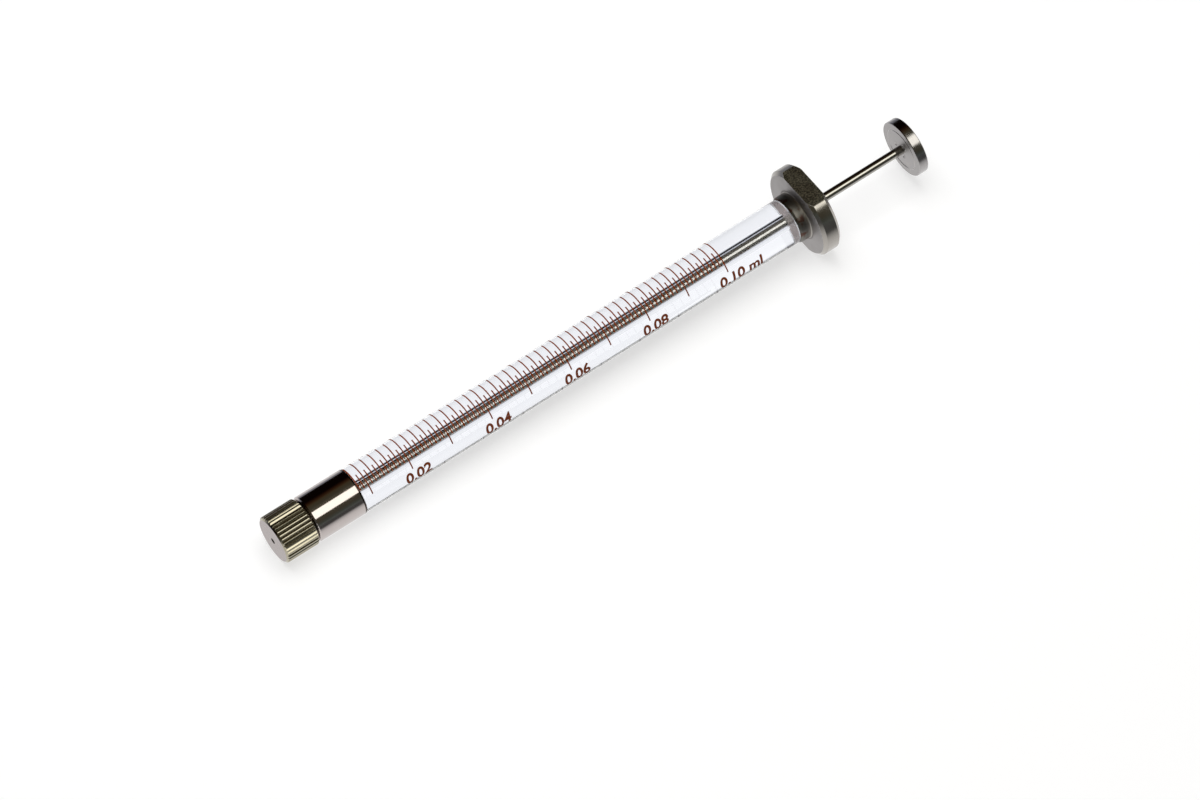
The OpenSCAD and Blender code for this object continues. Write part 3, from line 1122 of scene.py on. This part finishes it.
# %% Table
FLOOR_SIDE = 6.0
FLOOR_CELLS = 8
bpy.ops.object.select_all(action="DESELECT")
bpy.ops.mesh.primitive_grid_add(x_subdivisions=FLOOR_CELLS, y_subdivisions=FLOOR_CELLS, size=FLOOR_SIDE)
floor = bpy.context.object
floor.name = "table"
table = bpy.data.materials.new("table_white")
table.use_nodes = True
floor.data.materials.append(table)
print("table:", FLOOR_SIDE, "m square")

# %% What the table glows with
FLOOR_GLOW = 0.665
FAR_EDGE = (0.12, 0.7)
MIRROR_GLOW = 0.84
DIM_GLOW = 0.07
FRONT_EDGE = (-0.026, -0.004)
GLASS_GLOW = 1.0
GLASS_EDGE = (-0.04, 0.002)
BACK_EDGE = (0.006, 0.04)
BACK_TINT = (0.28, 0.29, 0.33)
table.node_tree.nodes.clear()
spot = Wire(table.node_tree).node("ShaderNodeTexCoord", out="Object")
across = spot.node("ShaderNodeSeparateXYZ", {}, {"Vector": spot}, out="Y")
away = spot.node("ShaderNodeVectorMath", {"operation": "LENGTH"}, {0: spot}, out="Value")
glossy_ray = spot.node("ShaderNodeLightPath", out="Is Glossy Ray")
glass_ray = spot.node("ShaderNodeLightPath", out="Is Transmission Ray")
bent_ray = glossy_ray.maths("MAXIMUM", glossy_ray, glass_ray)
plain = (1 - bent_ray) * (FLOOR_GLOW + (1 - FLOOR_GLOW) * away.band(*FAR_EDGE))
through = glass_ray * (GLASS_GLOW * across.band(*GLASS_EDGE))
mirrored = (DIM_GLOW + (MIRROR_GLOW - DIM_GLOW) * across.band(*FRONT_EDGE)) * glossy_ray
glow = plain.maths("MAXIMUM", plain.maths("MAXIMUM", plain, through), mirrored)
glow_colour = (across.band(*BACK_EDGE) * glossy_ray).mix((1, 1, 1), BACK_TINT)
print("the table's glow has", len(table.node_tree.nodes), "nodes")

# %% What the lamps light on the table
FLOOR_ALBEDO = 0.38
shining = glow.node("ShaderNodeEmission", {}, {"Color": glow_colour, "Strength": glow})
matt = glow.node("ShaderNodeBsdfDiffuse", {}, {"Color": (FLOOR_ALBEDO,) * 3 + (1,)})
dark = glow.node("ShaderNodeBsdfDiffuse", {}, {"Color": (0, 0, 0, 1)})
lit = glow.node("ShaderNodeMixShader", {}, {0: bent_ray, 1: matt, 2: dark})
both = glow.node("ShaderNodeAddShader", {}, {0: shining, 1: lit})
output = table.node_tree.nodes.new("ShaderNodeOutputMaterial")
table.node_tree.links.new(both.socket, output.inputs["Surface"])
print("the table reflects", FLOOR_ALBEDO, "of the lamps' light")

# %% [markdown]
# The light is a studio's: a large key lamp overhead makes the soft shadow, and a softbox over the
# front of the table is what the metal mirrors as its bright band. Each does one job: the key lamp
# isn't mirrored, and the softbox adds no shadow of its own. The rest of the room is dim.

# %% Lamps
def direction(azimuth, elevation):
    """Unit vector away from the syringe, from its angles over the table in degrees."""
    turn, lift = math.radians(azimuth), math.radians(elevation)
    flat = math.cos(lift)
    return Vector((flat * math.sin(turn), -flat * math.cos(turn), math.sin(lift)))


def softbox(name, toward, distance, width, depth, radiance):
    """A rectangular lamp that faces the middle of the syringe."""
    lamp = bpy.data.lights.new(name, "AREA")
    lamp.shape = "RECTANGLE"
    lamp.size = width
    lamp.size_y = depth
    lamp.energy = radiance * math.pi * width * depth
    stand = bpy.data.objects.new(name, lamp)
    bpy.context.scene.collection.objects.link(stand)
    stand.location = toward * distance
    stand.rotation_mode = "QUATERNION"
    stand.rotation_quaternion = toward.to_track_quat("Z", "Y")
    print(name, "gives", round(lamp.energy, 2), "W")
    return stand


KEY_TOWARD = direction(180, 82)
BOX_TOWARD = direction(32, 58.7)
key = softbox("key_lamp", KEY_TOWARD, distance=0.6, width=0.5, depth=0.62, radiance=4.2)
key.visible_glossy = False
key.visible_transmission = False
box = softbox("front_softbox", BOX_TOWARD, distance=0.6, width=0.5, depth=0.33, radiance=1.75)
box.data.color = (1.0, 0.99, 0.92)
box.visible_diffuse = False

# %% [markdown]
# What polished steel mirrors is the room, so the room has to be right before the steel can be.
# Round the syringe's axis it is black behind, warm brown and olive overhead, and a neutral grey
# low in front. A colour ramp over the angle round that axis paints it. The camera alone sees it
# white, like the table.

# %% Room
ROOM = {
    -96: (0.03, 0.03, 0.029),
    -86: (0.095, 0.105, 0.1),
    -78: (0.06, 0.068, 0.056),
    -66: (0.06, 0.053, 0.037),
    -6: (0.085, 0.078, 0.052),
    3: (0.058, 0.053, 0.035),
    18: (0.055, 0.043, 0.022),
    24: (0.045, 0.022, 0.009),
    33: (0.02, 0.0075, 0.0035),
    42: (0.003, 0.001, 0.0005),
}
world = bpy.data.worlds.new("room")
bpy.context.scene.world = world
world.use_nodes = True
tree = world.node_tree
tree.nodes.clear()
heading = Wire(tree).node("ShaderNodeTexCoord", out="Generated")
ends = heading.node("ShaderNodeSeparateXYZ", {}, {"Vector": heading}).socket.node.outputs
side, height = Wire(tree, ends["Y"]), Wire(tree, ends["Z"])
share = side.maths("ARCTAN2", side, height) / math.tau + 0.5
stops = [(0.5 + turn / 360, colour) for turn, colour in ROOM.items()]
walls = share.node("ShaderNodeValToRGB", {"stops": stops}, {"Fac": share})
camera_ray = share.node("ShaderNodeLightPath", out="Is Camera Ray")
light = walls.node("ShaderNodeBackground", {}, {"Color": camera_ray.mix(walls, (1, 1, 1))})
output = tree.nodes.new("ShaderNodeOutputWorld")
tree.links.new(light.socket, output.inputs["Surface"])
print("the room has", len(ROOM), "tones round the axis")

# %% [markdown]
# The camera stands far off with a long lens, so the barrel hardly tapers. It looks down at a
# steep angle from the nut's side, a little rolled.

# %% Camera
CAMERA_AZIMUTH = -31.78
CAMERA_ELEVATION = 55.538
CAMERA_ROLL = 4.2745
CAMERA_DISTANCE = 0.88851
CAMERA_LENS = 214.676
SENSOR_W = 36.0
TARGET = Vector((-0.004574, -0.007139, 0.003404))
lens = bpy.data.cameras.new("camera")
lens.lens = CAMERA_LENS
lens.sensor_width = SENSOR_W
lens.clip_start = 0.01
lens.clip_end = 20.0
camera = bpy.data.objects.new("camera", lens)
bpy.context.scene.collection.objects.link(camera)
back = direction(CAMERA_AZIMUTH, CAMERA_ELEVATION)
camera.location = TARGET + back * CAMERA_DISTANCE
camera.rotation_mode = "QUATERNION"
roll = Quaternion((0, 0, 1), math.radians(-CAMERA_ROLL))
camera.rotation_quaternion = (-back).to_track_quat("-Z", "Y") @ roll
bpy.context.scene.camera = camera
bpy.context.scene.view_settings.view_transform = "Standard"
print("camera", CAMERA_DISTANCE, "m away, lens", CAMERA_LENS, "mm")
